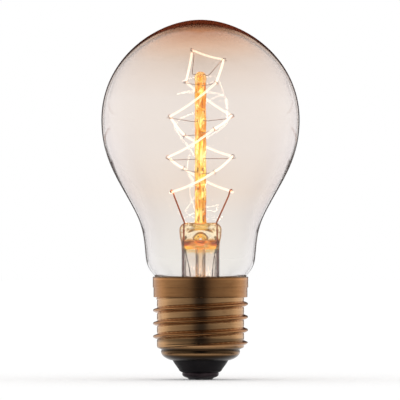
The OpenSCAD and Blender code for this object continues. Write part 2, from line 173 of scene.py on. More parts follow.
def skin(name, rings, looped=False, sharp=40):
    """An object over rings of equally many points. Its ends are closed, or joined where it is looped."""
    rings = np.array(rings, float)
    rows, sides = rings.shape[:2]
    index = np.arange(rows * sides).reshape(rows, sides)
    lower = index if looped else index[:-1]
    upper = np.roll(index, -1, 0) if looped else index[1:]
    quads = np.stack([lower, np.roll(lower, -1, 1), np.roll(upper, -1, 1), upper], -1)
    faces = quads.reshape(-1, 4).tolist()
    if not looped:
        faces += [index[0].tolist(), index[-1].tolist()]
    return make(name, rings.reshape(-1, 3), faces, sharp)


def lathe(name, outline, sides, looped=False, sharp=40):
    """An outline of [radius, height] points turned about the lamp's axis."""
    outline = np.array(outline, float)
    angles = around(sides)
    rings = np.empty((len(outline), sides, 3))
    rings[:, :, 0] = outline[:, :1] * np.cos(angles)
    rings[:, :, 1] = outline[:, :1] * np.sin(angles)
    rings[:, :, 2] = outline[:, 1:]
    return skin(name, rings, looped, sharp)


def frames(path):
    """Tangents and two steady sideways directions at each point of a path."""
    path = np.array(path, float)
    t = np.vstack([path[1:], path[-1:]]) - np.vstack([path[:1], path[:-1]])
    t /= np.linalg.norm(t, axis=1)[:, None]
    u = np.empty_like(t)
    steep = abs(t[0][2]) >= 0.9
    start = np.array([1.0, 0, 0]) if steep else np.array([0, 0, 1.0])
    for i, along in enumerate(t):
        start = unit(start - along * (start @ along))
        u[i] = start
    return t, u, np.cross(t, u)


# Rings of a wire's rounded end: their radius, and their distance past the end, in wire radii
END_RINGS = ((0.85, 0.35), (0.45, 0.6), (0.0, 0.68))


def tube(name, path, radius, sides):
    """A round wire along a path, with rounded ends."""
    path = np.array(path, float)
    t, u, v = frames(path)
    angles = around(sides)[:, None]
    rings = [p + radius * (np.cos(angles) * u[i] + np.sin(angles) * v[i]) for i, p in enumerate(path)]
    ends = []
    for end, sign in ((0, -1), (len(path) - 1, 1)):
        ends.append([path[end] + sign * t[end] * radius * past
                     + share * radius * (np.cos(angles) * u[end] + np.sin(angles) * v[end])
                     for share, past in END_RINGS])
    return skin(name, ends[0][::-1] + rings + ends[1])


def paint(obj, material):
    obj.data.materials.clear()
    obj.data.materials.append(material)


def dress(obj, material, node):
    """Gives a piece its material and hides the solid that it stands in for. The lamp is one body."""
    paint(obj, material)
    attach(obj, "root")
    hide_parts(node)


# Node helpers

class Nodes:
    """A node tree, with short ways to add and link nodes."""

    def __init__(self, tree):
        self.tree = tree

    def add(self, kind, inputs=None, **settings):
        node = self.tree.nodes.new("ShaderNode" + kind)
        for key, value in settings.items():
            setattr(node, key, value)
        for key, value in (inputs or {}).items():
            self.put(node.inputs[key], value)
        return node

    def put(self, socket, value):
        if isinstance(value, bpy.types.NodeSocket):
            self.tree.links.new(value, socket)
        elif isinstance(value, (tuple, list)) and len(value) == 3 and len(socket.default_value) == 4:
            socket.default_value = (*value, 1)
        else:
            socket.default_value = value

    def math(self, operation, *values):
        return self.add("Math", dict(enumerate(values)), operation=operation).outputs[0]

    def spread(self, value, lowest, highest, to=(0, 1), kind="SMOOTHSTEP"):
        """Where value lies from lowest to highest, spread over the range to."""
        inputs = {0: value, 1: lowest, 2: highest, 3: to[0], 4: to[1]}
        return self.add("MapRange", inputs, interpolation_type=kind).outputs[0]


class Surface(Nodes):
    """The nodes of a new material."""

    def __init__(self, name):
        self.material = bpy.data.materials.new(name)
        self.material.use_nodes = True
        super().__init__(self.material.node_tree)
        self.shader = self.tree.nodes["Principled BSDF"]
        self.output = self.tree.nodes["Material Output"]

    def set(self, **values):
        """Sets the shader's sockets. An underscore in a key stands for a space."""
        for key, value in values.items():
            self.put(self.shader.inputs[key.replace("_", " ")], value)

    def place(self):
        """The point being shaded, in metres in the lamp's frame."""
        return self.add("TexCoord").outputs["Object"]

    def radius(self):
        """The distance from the lamp's axis, in metres."""
        flat = self.add("VectorMath", {0: self.place(), 1: (1, 1, 0)}, operation="MULTIPLY").outputs[0]
        return self.add("VectorMath", {0: flat}, operation="LENGTH").outputs["Value"]

    def by_height(self, *stops, wobble=0):
        """Colours at heights in millimetres, blended between them. A wobble makes their edges wavy."""
        z = self.add("SeparateXYZ", {0: self.place()}).outputs["Z"]
        if wobble:
            wave = self.math("SUBTRACT", self.noise(330, (1, 1, 0.3), detail=1.5), 0.5)
            z = self.math("ADD", z, self.math("MULTIPLY", wave, 2 * wobble * MM))
        bottom, top = stops[0][0], stops[-1][0]
        share = self.spread(z, bottom * MM, top * MM, kind="LINEAR")
        return self.ramp(share, *(((h - bottom) / (top - bottom), colour) for h, colour in stops))

    def level(self, *stops):
        """Values at heights in millimetres, blended between them."""
        return self.by_height(*((height, (value,) * 3) for height, value in stops))

    def edge_on(self, start, full):
        """0 where the glass is seen square on, up to 1 where it is seen along its surface."""
        facing = self.add("LayerWeight", {"Blend": 0.5}).outputs["Facing"]
        return self.spread(self.math("SUBTRACT", 1.0, facing), full, start, (1, 0))

    def noise(self, scale, stretch=(1, 1, 1), detail=3.0):
        """Noise with features 1/scale metres wide, stretched by the inverse of stretch."""
        where = self.add("Mapping", {"Vector": self.place(), "Scale": stretch}).outputs[0]
        return self.add("TexNoise", {"Vector": where, "Scale": scale, "Detail": detail,
                                     "Roughness": 0.55}).outputs[0]

    def ramp(self, factor, *stops):
        """A colour ramp of (place, colour) stops."""
        node = self.add("ValToRGB", {0: factor})
        elements = node.color_ramp.elements
        while len(elements) < len(stops):
            elements.new(0.5)
        for element, (position, colour) in zip(elements, stops):
            element.position = position
            element.color = (*colour, 1)
        return node.outputs[0]

    def mix(self, factor, a, b, blend="MIX"):
        node = self.add("Mix", data_type="RGBA", blend_type=blend)
        for socket, value in ((node.inputs[0], factor), (node.inputs[6], a), (node.inputs[7], b)):
            self.put(socket, value)
        return node.outputs[2]

    def times(self, a, b):
        """Two colours multiplied."""
        return self.mix(1.0, a, b, "MULTIPLY")

    def bump(self, height, distance):
        """A bump whose full height is distance millimetres."""
        node = self.add("Bump", {"Height": height, "Distance": distance * MM, "Strength": 1.0})
        self.put(self.shader.inputs["Normal"], node.outputs[0])

    def let_light_in(self):
        """Lets light reach what is inside the glass."""
        ray = self.add("LightPath").outputs["Is Shadow Ray"]
        clear = self.add("BsdfTransparent", {"Color": (1, 1, 1)})
        mix = self.add("MixShader", {0: ray, 1: self.shader.outputs[0], 2: clear.outputs[0]})
        self.put(self.output.inputs["Surface"], mix.outputs[0])


# Materials

# What the shader of every glass piece has
GLASS = {"Transmission_Weight": 1.0, "IOR": 1.5}


def bulb_glass():
    """Greyish glass, amber towards the crown. A dark rim colour takes over where it is seen edge on."""
    n = Surface("bulb_glass")
    through = n.by_height(
        (28, (0.93, 0.925, 0.92)),
        (45, (0.92, 0.89, 0.875)),
        (52, (0.94, 0.88, 0.84)),
        (64, (0.935, 0.89, 0.87)),
        (78, (0.925, 0.88, 0.86)),
        (85, (0.905, 0.838, 0.80)),
        (89, (0.88, 0.795, 0.74)),
        (93.2, (0.86, 0.69, 0.575)),
        (95.5, (0.79, 0.56, 0.41)),
        (97.7, (0.66, 0.375, 0.23)),
        (LAMP_H, (0.36, 0.15, 0.06)))
    # Painted shade: a near-black rim where the glass is seen edge on, far darker than its longer path
    # there would tint it, for the dark surroundings that its edge bends and mirrors
    rim = n.by_height(
        (28, (0.04, 0.032, 0.03)),
        (70, (0.03, 0.022, 0.021)),
        (90, (0.03, 0.012, 0.009)),
        (95, (0.02, 0.002, 0.001)),
        (LAMP_H, (0.02, 0.0012, 0.0003)))
    start = n.level((80, 0.22), (90, 0.25), (95, 0.30), (98, 0.40), (LAMP_H, 0.43))
    full = n.level((80, 0.12), (90, 0.15), (95, 0.20), (98, 0.28), (LAMP_H, 0.31))
    # Painted shade: grey tints by height near the glass's edge, and the grey edge tint below, for the
    # surroundings that it mirrors there
    sides = n.by_height(
        (34, (0.95, 0.945, 0.96)),
        (45, (0.885, 0.875, 0.89)),
        (54, (0.86, 0.86, 0.885)),
        (66, (0.96, 0.965, 0.985)),
        (76, (1.0, 1.0, 1.0)),
        (86, (0.92, 0.92, 0.93)))
    sides = n.mix(n.edge_on(0.9, 0.3), (1, 0.995, 0.975), sides)
    edge = n.mix(n.edge_on(0.46, 0.24), (1, 1, 1), (0.90, 0.885, 0.90))
    body = n.times(through, n.times(sides, edge))
    n.set(Base_Color=n.mix(n.edge_on(start, full), body, rim), Roughness=0.0, **GLASS)
    n.bump(n.noise(90, detail=1.0), 0.012)
    n.let_light_in()
    return n.material


def stem_glass():
    """Clear glass in the flare. The press is painted amber and brown for the light and shade in it, and a
    painted glow stands for the filament's light.
    """
    n = Surface("stem_glass")
    # Painted light and shade by height: an amber glow in the press's hollow and a dark band at its roof
    through = n.by_height(
        (28, (0.98, 0.93, 0.90)),
        (35.0, (0.98, 0.93, 0.88)),
        (35.9, (1.0, 0.86, 0.62)),
        (36.3, (1.0, 0.62, 0.12)),
        (37.2, (1.0, 0.50, 0.06)),
        (37.6, (0.60, 0.14, 0.012)),
        (38.5, (0.32, 0.055, 0.006)),
        (38.9, (0.95, 0.70, 0.38)),
        (39.3, (1.0, 0.93, 0.76)),
        (44, (1.0, 0.91, 0.68)), wobble=0.8)
    # Painted shade where the press is seen edge on: near black low down, brown higher up, with painted
    # amber light at its top
    rim = n.by_height(
        (28, (0.009, 0.0004, 0.0002)),
        (36.6, (0.014, 0.0006, 0.0002)),
        (38, (0.04, 0.005, 0.001)),
        (39.6, (0.14, 0.03, 0.004)),
        (43, (0.12, 0.02, 0.002)),
        (43.45, (0.60, 0.30, 0.08)),
        (44, (0.80, 0.50, 0.20)))
    start = n.level((36.3, 0.58), (38, 0.90), (44, 0.90))
    full = n.level((36.3, 0.50), (38, 0.60), (44, 0.55))
    bore = n.level((35.0, (TUBE_R + BORE_R) / 2), (36.0, 0))
    outside = n.math("GREATER_THAN", n.radius(), n.math("MULTIPLY", bore, MM))
    painted_press_colour = n.mix(n.math("MULTIPLY", n.edge_on(start, full), outside), through, rim)
    painted_press_colour = painted_hole_glow(n, painted_arch_line(n, painted_press_colour))
    # Painted light: this emission stands for the filament's light glowing in the press
    swirl = n.noise(420, (1, 1, 1.4), detail=2.0)
    fire = n.ramp(swirl, (0.40, (0.10, 0.05, 0.01)), (0.52, (0.45, 0.26, 0.06)), (0.62, (1.0, 0.72, 0.22)))
    lit = n.level((35.8, 0), (37, 0.9), (39, 0.55), (43.4, 0.55), (44, 0.2))
    n.set(Base_Color=painted_press_colour, Roughness=0.0, Emission_Color=n.times(fire, lit), Emission_Strength=0.3,
          **GLASS)
    n.bump(n.noise(400, detail=1.5), 0.06)
    n.let_light_in()
    return n.material


def painted_arch_line(n, under):
    """The painted light and shade along the arch moulded in the press's faces: amber in the middle, brown
    at its ends.
    """
    below_arch, full_width, end_width = 0.15, 0.25, 0.6
    place = n.add("SeparateXYZ", {0: n.place()}).outputs
    share = n.math("ABSOLUTE", n.math("MULTIPLY", place["X"], 1 / (ARCH_W * MM)))
    drop = n.math("MULTIPLY", n.math("MULTIPLY", share, share), ARCH_H * MM)
    above = n.math("SUBTRACT", n.math("ADD", place["Z"], drop), (ARCH_Z + ARCH_H - below_arch) * MM)
    near = n.spread(n.math("ABSOLUTE", above), full_width * MM, end_width * MM, (1, 0))
    colour = n.ramp(share, (0.35, (0.72, 0.34, 0.03)), (0.6, (0.10, 0.022, 0.004)),
                    (0.9, (0.14, 0.03, 0.008)))
    return n.mix(n.math("MULTIPLY", near, n.spread(share, 0.85, 1.0, (1, 0))), under, colour)


def painted_hole_glow(n, under):
    """The painted light on the blow hole's wall: an amber glow, with a painted dark line round its mouth.
    """
    place = n.add("SeparateXYZ", {0: n.place()}).outputs
    rise = n.math("SUBTRACT", place["Z"], EXHAUST_TOP * MM)
    away = n.add("VectorMath", {0: n.add("CombineXYZ", {0: place["X"], 1: rise}).outputs[0]},
                 operation="LENGTH").outputs["Value"]
    mouth = n.spread(away, (HOLE_R - 0.5) * MM, (HOLE_R - 0.15) * MM)
    colour = n.mix(mouth, (0.92, 0.50, 0.07), (0.08, 0.012, 0.004))
    within = n.spread(away, (HOLE_R + 0.02) * MM, (HOLE_R + 0.16) * MM, (1, 0))
    return n.mix(n.math("MULTIPLY", within, n.math("GREATER_THAN", rise, -0.1 * MM)), under, colour)


def exhaust_tube_glass():
    n = Surface("exhaust_glass")
    through = n.by_height((28, (1.0, 0.88, 0.70)), (30, (1.0, 0.93, 0.86)), (37, (1.0, 0.90, 0.75)))
    # Painted shade: near black where the tube is seen edge on in its middle, amber towards its ends
    rim = n.by_height((28, (0.90, 0.50, 0.15)), (30, (0.40, 0.12, 0.02)), (32.5, (0.03, 0.008, 0.004)),
                      (34.8, (0.03, 0.008, 0.003)), (35.8, (0.75, 0.35, 0.08)), (39, (0.85, 0.45, 0.12)))
    n.set(Base_Color=n.mix(n.edge_on(0.8, 0.7), through, rim), Roughness=0.0, **GLASS)
    n.bump(n.noise(500, detail=1.0), 0.03)
    n.let_light_in()
    return n.material


def rod_glass():
    """Amber glass with streaks and patches, painted to glow with the filament's light, with bright painted
    lines along the rod.
    """
    n = Surface("rod_glass")
    streaks = n.noise(1300, (1, 1, 0.12), detail=2.0)
    patches = n.noise(480, (1, 1, 0.2), detail=0.5)
    swirl = n.math("SUBTRACT", n.noise(620, (1, 1, 0.16), detail=1.5), 0.5)
    lines = n.spread(n.math("ABSOLUTE", swirl), 0.004, 0.018, (1, 0))
    tint = n.ramp(streaks, (0.40, (0.72, 0.24, 0.006)), (0.46, (1.0, 0.50, 0.04)),
                  (0.53, (1.0, 0.70, 0.14)), (0.60, (1.0, 0.95, 0.50)))
    dark = n.ramp(patches, (0.38, (0.85, 0.46, 0.10)), (0.52, (1.0, 1.0, 1.0)))
    # Painted light: this glow and its bright lines stand for the filament's light in the rod
    glow = n.ramp(streaks, (0.48, (0.16, 0.055, 0.001)), (0.62, (0.8, 0.50, 0.14)))
    glow = n.mix(lines, n.times(glow, dark), (1.6, 1.35, 0.75))
    top = n.level((ROD_TOP - 3.4, 0), (ROD_TOP - 3.0, 0.7), (ROD_TOP, 0.5))
    clear = n.mix(top, n.times(tint, dark), (1.0, 0.80, 0.36))
    n.set(Base_Color=n.mix(n.edge_on(0.55, 0.25), clear, (0.40, 0.10, 0.003)), Roughness=0.02,
          Emission_Color=glow, Emission_Strength=0.4, **GLASS)
    n.bump(streaks, 0.06)
    n.let_light_in()
    return n.material


def wire(name, colour, roughness):
    """Drawn metal wire, with darker spots."""
    n = Surface(name)
    drawn = n.noise(1800, detail=2.0)
    dark = tuple(0.6 * c for c in colour)
    n.set(Base_Color=n.ramp(drawn, (0.3, dark), (0.7, colour)), Metallic=1.0, Roughness=roughness)
    n.bump(drawn, 0.01)
    return n.material


def hot_tungsten():
    """Glowing wire, stronger where the bulb's glass mirrors it than where it is seen itself."""
    seen_glow, mirrored_glow = 1.9, 12.0
    n = Surface("hot_tungsten")
    grain = n.noise(900, detail=1.0)
    glow = n.ramp(grain, (0.3, (1.0, 0.83, 0.64)), (0.7, (1.0, 0.88, 0.73)))
    ray = n.add("LightPath").outputs
    mirrored = n.math("SUBTRACT", ray["Is Glossy Ray"], ray["Is Transmission Ray"])
    n.set(Base_Color=(0.02, 0.015, 0.01), Roughness=1.0, Specular_IOR_Level=0.0, Emission_Color=glow,
          Emission_Strength=n.spread(mirrored, 0.0, 1.0, (seen_glow, mirrored_glow)))
    return n.material


def cap_brass():
    """Rolled brass with patina spots. Painted light and shade: lighter at the thread's roots, darker on
    its crests and towards the lip.
    """
    n = Surface("cap_brass")
    rolled = n.noise(120, (1, 1, 12), detail=4.0)
    patina = n.noise(260)
    # Painted light and shade: the thread's roots get the lit brass, its crests the shaded brass
    lit_brass = n.ramp(rolled, (0.35, (0.72, 0.40, 0.185)), (0.65, (0.82, 0.47, 0.22)))
    shaded_brass = n.ramp(rolled, (0.35, (0.54, 0.25, 0.094)), (0.65, (0.63, 0.31, 0.125)))
    lit_roots = n.spread(n.radius(), (ROOT_R + 0.05) * MM, (ROOT_R + 0.45) * MM, (1, 0))
    spotted = n.mix(n.spread(patina, 0.55, 0.75, (0, 0.3)), n.mix(lit_roots, shaded_brass, lit_brass), (0.40, 0.17, 0.07))
    # Painted highlights and shade by height: highlights on the rim and a light line across the lip;
    # painted shade on the lip, in the notch above it, in a band low on the thread and at the rim's top
    # edge
    shade = n.level(
        (5.4, 0.03), (6.6, 0.05), (7.2, 0.42), (7.5, 0.42), (8.0, 0.09), (8.6, 0.08), (9.3, 0.66),
        (10.2, 0.74), (10.8, 0.40), (11.3, 0.32), (11.7, 0.74), (RIM_Z - 0.95, 0.74),
        (RIM_Z - 0.75, 1.0), (RIM_Z - 0.45, 1.0), (RIM_Z - 0.3, 0.40), (RIM_Z, 0.35))
    n.set(Base_Color=n.times(spotted, shade), Metallic=1.0,
          Roughness=n.spread(patina, 0.3, 0.7, (0.20, 0.27)))
    n.bump(rolled, 0.008)
    return n.material


def black_glass():
    n = Surface("black_glass")
    flow = n.noise(300, detail=2.0)
    n.set(Base_Color=n.ramp(flow, (0.3, (0.006, 0.005, 0.006)), (0.7, (0.011, 0.009, 0.010))),
          Roughness=0.4, Specular_IOR_Level=0.09)
    n.bump(flow, 0.03)
    return n.material


def plate_metal():
    n = Surface("plate_metal")
    wear = n.noise(500)
    n.set(Base_Color=n.ramp(wear, (0.35, (0.03, 0.022, 0.026)), (0.7, (0.075, 0.055, 0.06))),
          Metallic=1.0, Roughness=0.4)
    n.bump(wear, 0.03)
    return n.material


def solder_metal():
    n = Surface("solder_metal")
    wear = n.noise(700)
    n.set(Base_Color=n.ramp(wear, (0.35, (0.10, 0.095, 0.10)), (0.7, (0.26, 0.25, 0.26))),
          Metallic=1.0, Roughness=0.38)
    n.bump(wear, 0.05)
    return n.material


def basing_cement():
    n = Surface("basing_cement")
    grain = n.noise(900, detail=5.0)
    n.set(Base_Color=n.ramp(grain, (0.3, (0.36, 0.31, 0.24)), (0.7, (0.55, 0.49, 0.40))),
          Roughness=0.95)
    n.bump(grain, 0.08)
    return n.material


# The bulb, on the same curve handles as its solid. Its points are (radius, height).
EQUATOR_Z = 72.2
SHOULDER = np.array([17.95, 46.2])
NECK = (15.2, 33.8)
SEAT = (12.3, 28.2)
SLEEVE = (11.1, 25.2)
SHOULDER_DIR = np.array([0.446, 0.895])  # the outline's slope at the shoulder
CROWN_REACH = 12.4  # how far the crown runs out flat before it turns down
CROWN_DROP = 16.9  # how far above the widest ring the side starts to turn in
BELLY_DROP = 11.4  # how far below the widest ring it starts to turn in
BELLY_PULL = 9.5  # length of the belly's curve handle at the shoulder
THROAT_PULL = 5.3  # length of the neck's curve handle at the shoulder
GLASS_T = 0.5
CROWN_T = 0.9
CROWN_FROM = 84  # height above which the glass thickens towards the crown


def bulb_outline():
    """The bulb's outer outline, from the crown down to its seal."""
    equator = (BULB_R, EQUATOR_Z)
    crown = bezier((0, LAMP_H), (CROWN_REACH, LAMP_H), (BULB_R, EQUATOR_Z + CROWN_DROP), equator, 44)
    belly = bezier(equator, (BULB_R, EQUATOR_Z - BELLY_DROP), SHOULDER + BELLY_PULL * SHOULDER_DIR,
                   SHOULDER, 30)
    waist = bezier(SHOULDER, SHOULDER - THROAT_PULL * SHOULDER_DIR, (NECK[0] + 0.43, NECK[1] + 4), NECK,
                   20)
    throat = bezier(NECK, (NECK[0] - 0.3, NECK[1] - 2.8), (SEAT[0] + 1.3, SEAT[1] + 1.7), SEAT, 14)
    sleeve = bezier(SEAT, (SEAT[0] - 0.7, SEAT[1] - 0.9), (SLEEVE[0], SLEEVE[1] + 1.4), SLEEVE, 8)
    return joined(crown, belly, waist, throat, sleeve, [(SLEEVE[0], SEAL_Z)])


def blown_bulb():
    outside = bulb_outline()
    thickening = smooth((outside[:, 1] - CROWN_FROM) / (LAMP_H - CROWN_FROM))
    thickness = GLASS_T + (CROWN_T - GLASS_T) * thickening
    inside = inset(outside, thickness)
    return lathe("blown_bulb", joined(outside, inside[::-1]), 192, sharp=60)


# The screw cap
PITCH = 3.629
CREST_R = 13.2
ROOT_R = 12.1
BRASS_T = 0.33
CREST_Z = 13.78  # height of a crest at angle 0
TURNS_BELOW = 18 / 14  # turns of thread below that crest
TURNS_ABOVE = 2.5
THREAD_LO = CREST_Z - TURNS_BELOW * PITCH
THREAD_HI = CREST_Z + TURNS_ABOVE * PITCH
FADE_H = 1.3  # height in which the thread runs out at each end
CREST_W = 0.75  # half the width of a crest at its foot
CREST_W_IN = 0.62  # the same inside the sheet
CREST_ROUND = 2.6  # how round a crest's top is: 2 and above
CREST_FOOT = 1.4  # how gently a crest's flanks run out at its foot: 1 and above
GROOVE_T = 0.12  # depth of the shallow groove beside each crest
GROOVE_W = 0.35  # width in which that groove rises to the root
WAIST_R = COLLAR_R - 0.21  # radius of the collar's lower band
BAND_Z = 25.6  # height of the step between the collar's two bands


def thread_radius(angle, z, half_w):
    """The thread's radius at an angle and heights, with crests half_w to each side."""
    turns = (z - CREST_Z) / PITCH - angle / (2 * math.pi)
    gap = PITCH * np.abs(turns - np.round(turns))
    rise = (1 - np.minimum(gap / half_w, 1) ** CREST_ROUND) ** CREST_FOOT
    groove = GROOVE_T * (1 - smooth((gap - CREST_W) / GROOVE_W)) * (1 - rise)
    fade = smooth((z - THREAD_LO) / FADE_H) * smooth((THREAD_HI - z) / FADE_H)
    return ROOT_R + ((CREST_R - ROOT_R) * rise - groove) * fade


def held(outline):
    """An outline with a point just before and after each bend, so that its flats shade flat."""
    gap = 0.06
    points = np.array(outline, float)
    kept = [points[0]]
    for a, b in zip(points[:-1], points[1:]):
        length = np.linalg.norm(b - a)
        if length > 5 * gap:
            kept += [a + (b - a) * gap / length, b - (b - a) * gap / length]
        kept.append(b)
    return np.array(kept)


def screw_shell():
    """The brass sheet: rim, collar, thread and turned-in lip, as one outline for each angle."""
    rim = [(COLLAR_R - BRASS_T, RIM_Z - 0.06), (COLLAR_R - BRASS_T * 0.8, RIM_Z - 0.01),
           (COLLAR_R - BRASS_T * 0.5, RIM_Z), (COLLAR_R - BRASS_T * 0.2, RIM_Z - 0.02),
           (COLLAR_R, RIM_Z - 0.12)]
    step = bezier((COLLAR_R, BAND_Z + 0.06), (COLLAR_R, BAND_Z), (COLLAR_R - 0.02, BAND_Z),
                  (WAIST_R, BAND_Z), 5)
    collar_end = bezier((WAIST_R, THREAD_HI + 0.25), (WAIST_R, THREAD_HI + 0.05),
                        (WAIST_R - 0.1, THREAD_HI), (WAIST_R - 0.3, THREAD_HI), 5)
    above = held(joined(rim, step, collar_end))
    row_h = 0.08
    z = np.arange(THREAD_HI, THREAD_LO, -row_h)
    lip = joined([(ROOT_R - 0.15, THREAD_LO - 0.25), (10.95, 8.45), (10.82, 8.2)],
                 bezier((10.95, 7.95), (11.1, 7.3), (10.5, 6.2), (8.6, 5.55), 16),
                 [(8.3, 5.45), (8.2, LIP_Z)])
    plain = np.stack([np.full(len(z), ROOT_R), z], 1)
    inside = inset(np.vstack([above, plain, lip]), BRASS_T)
    turn = slice(len(above), len(above) + len(z))
    past_rim, at_lip = 8, 2
    rings = []
    for angle in around(192):
        outside = np.vstack([above, np.stack([thread_radius(angle, z, CREST_W), z], 1), lip])
        inside[turn] = np.stack([thread_radius(angle, z, CREST_W_IN) - BRASS_T, z], 1)
        hollow = np.vstack([[(outside[0][0], RIM_Z - 0.4)], inside[past_rim:-at_lip],
                            [(8.25, LIP_Z + BRASS_T)]])
        outline = np.vstack([outside, hollow[::-1]])
        rings.append(np.stack([outline[:, 0] * math.cos(angle), outline[:, 0] * math.sin(angle),
                               outline[:, 1]], 1))
    return skin("rolled_shell", np.array(rings).transpose(1, 0, 2), looped=True, sharp=50)


# The cap's foot: insulator, contact plate and solder
EYELET_R = 1.4  # the plate's tube, which goes up into the insulator
EYELET_BORE_R = 1.1
EYELET_TOP = 5.0
PLATE_R = 5.0
PLATE_Z = 2.0  # height of the insulator's lower face
BEAD_R = 3.6  # radius of the solder bead on the plate
BEAD_Z = 0.45  # height of the face that the bead sits on
FLAT_R = 2.8  # radius of the bead's flat
SOLDER_TOP = 3.4  # height to which the solder fills the eyelet


def moulded_insulator():
    top = THREAD_LO - 0.4
    cone = bezier((7.75, 5.4), (7.4, 4.6), (6.5, 3.5), (6.15, 3.0), 8)
    foot = bezier((6.1, 2.95), (5.95, 2.5), (5.75, 2.35), (5.35, 2.1), 6)
    outline = joined([(EYELET_R, PLATE_Z), (PLATE_R, PLATE_Z)], foot[::-1], cone[::-1],
                     [(8.15, 5.42), (9.6, 6.2), (10.2, 7.4), (10.3, top - 0.2), (4.5, 7.4), (2.4, 7),
                      (EYELET_R, 6.6)])
    return lathe("moulded_insulator", outline, 96, looped=True, sharp=35)


def contact_plate():
    gap = 0.02
    edge = (5.05, 1.35)
    outline = joined([(EYELET_R, EYELET_TOP), (EYELET_R, PLATE_Z + gap), (PLATE_R - 0.1, PLATE_Z + gap)],
                     bezier((PLATE_R, PLATE_Z), (5.12, 1.8), (5.1, 1.5), edge, 5),
                     bezier(edge, (5.0, 0.95), (4.5, 0.75), (BEAD_R, BEAD_Z), 10),
                     [(EYELET_BORE_R, BEAD_Z), (EYELET_BORE_R, EYELET_TOP)])
    return lathe("contact_plate", outline, 96, looped=True)


def solder_bead():
    outline = joined([(0, SOLDER_TOP), (EYELET_BORE_R, SOLDER_TOP - 0.2), (EYELET_BORE_R, BEAD_Z + 0.05),
                      (BEAD_R - 0.05, BEAD_Z + 0.02)],
                     bezier((BEAD_R, BEAD_Z), (3.45, 0.25), (3.2, 0.0), (FLAT_R, 0), 8), [(0, 0)])
    return lathe("solder_bead", outline, 64)


# The stem. Each level of the press is [height, half width, half depth, squareness].
STEM_SIDES = 96
FLARE_TOP = 24.5
TUBE_R = 5.25
BORE_R = 4.58
PRESS_R = 5.85
PRESS_OUTSIDE = [
    [FLARE_TOP, TUBE_R, TUBE_R, 2], [29, TUBE_R, TUBE_R, 2], [33, TUBE_R, TUBE_R, 2],
    [35.6, TUBE_R, TUBE_R, 2], [36.5, TUBE_R + 0.03, 4.3, 2], [37.3, TUBE_R + 0.06, 3.3, 2.1],
    [38.2, TUBE_R + 0.15, 2.6, 2.2], [39.3, PRESS_R - 0.2, 2.2, 2.5], [41.2, PRESS_R, 2.05, 2.7],
    [42.2, PRESS_R - 0.05, 1.95, 2.7], [42.9, PRESS_R - 0.4, 1.75, 2.6], [43.4, PRESS_R - 0.95, 1.4, 2.5],
    [PRESS_TOP, PRESS_R - 1.8, 0.8, 2.4]]
PRESS_INSIDE = [
    [FLARE_TOP, BORE_R, BORE_R, 2], [29, BORE_R, BORE_R, 2], [33, BORE_R, BORE_R, 2],
    [35.4, BORE_R, BORE_R, 2], [36.3, BORE_R + 0.05, 3.6, 2], [37.2, BORE_R + 0.1, 2.1, 2.1],
    [38, BORE_R + 0.15, 0.9, 2.2], [38.4, BORE_R, 0.4, 2.2]]
HOLE_R = 2.05  # radius of the half-round blow hole
ARCH_W = 3.6  # half the width of the arch moulded in the press's faces
ARCH_Z = 41.2  # height of the arch's ends
ARCH_H = 0.9
ARCH_T = 0.35  # how far the glass above the arch stands out


def oval(level):
    """The ring of points at one level of the stem."""
    z, wide, deep, square = level
    a = around(STEM_SIDES)
    c, s = np.cos(a), np.sin(a)
    return np.stack([wide * np.sign(c) * np.abs(c) ** (2 / square),
                     deep * np.sign(s) * np.abs(s) ** (2 / square), np.full(STEM_SIDES, z)], 1)


def pressed_stem():
    """The flare and its press, as rings down the inside and up the outside."""
    brim = SLEEVE[0] - 0.7
    flare_out = bezier((brim, SEAL_Z), (7.4, SEAL_Z + 0.1), (TUBE_R, 20.5), (TUBE_R, FLARE_TOP), 16)
    flare_in = bezier((brim, FLANGE_Z), (7.2, FLANGE_Z), (BORE_R, 19.8), (BORE_R, FLARE_TOP), 16)
    outer = [(SLEEVE[0], FLANGE_Z), (SLEEVE[0], SEAL_Z), *flare_out[:-1]]
    levels_out = [[z, r, r, 2] for r, z in outer] + spline(PRESS_OUTSIDE, 8).tolist()
    levels_in = [[z, r, r, 2] for r, z in flare_in[:-1]] + spline(PRESS_INSIDE, 6).tolist()
    rings = [oval(level) for level in levels_in[::-1]] + [arched(oval(level)) for level in levels_out]
    return bored(skin("pressed_stem", rings, sharp=60), blow_hole())


def arched(ring):
    """Moulds the arch across both faces of the press: the glass stands prouder above it."""
    step_h, past_end, run_out = 0.5, 0.6, 1.2
    x, y, z = ring.T
    arch = ARCH_Z + ARCH_H * (1 - np.clip(x / ARCH_W, -1, 1) ** 2)
    proud = ARCH_T * smooth((z - arch) / step_h + 0.5) * smooth((ARCH_W + past_end - np.abs(x)) / run_out)
    proud *= smooth((PRESS_TOP - z) / run_out) * (z > ARCH_Z - past_end)
    return np.stack([x, y + np.sign(y) * proud * np.minimum(np.abs(y), 1), z], 1)


def blow_hole():
    """The half-round hole through the press, narrowed to a waist in the middle."""
    past_face = 3
    mouth_y = 1.9
    waist = 0.2
    steps = 24
    a = np.linspace(0, math.pi, steps)
    rings = []
    for y in np.linspace(-past_face, past_face, 13):
        r = HOLE_R * (waist + (1 - waist) * smooth(abs(y) / mouth_y))
        rings.append(np.stack([r * np.cos(a), np.full(steps, y), EXHAUST_TOP + r * np.sin(a)], 1))
    return skin("blow_hole", rings, sharp=60)


def bored(obj, cutter):
    """Cuts one closed mesh out of another."""
    cut = obj.modifiers.new("bore", "BOOLEAN")
    cut.object = cutter
    cut.solver = "EXACT"
    depsgraph = bpy.context.evaluated_depsgraph_get()
    mesh = bpy.data.meshes.new_from_object(obj.evaluated_get(depsgraph))
    obj.modifiers.clear()
    obj.data = mesh
    bpy.data.objects.remove(cutter)
    return obj


EXHAUST_BORE_R = 0.85


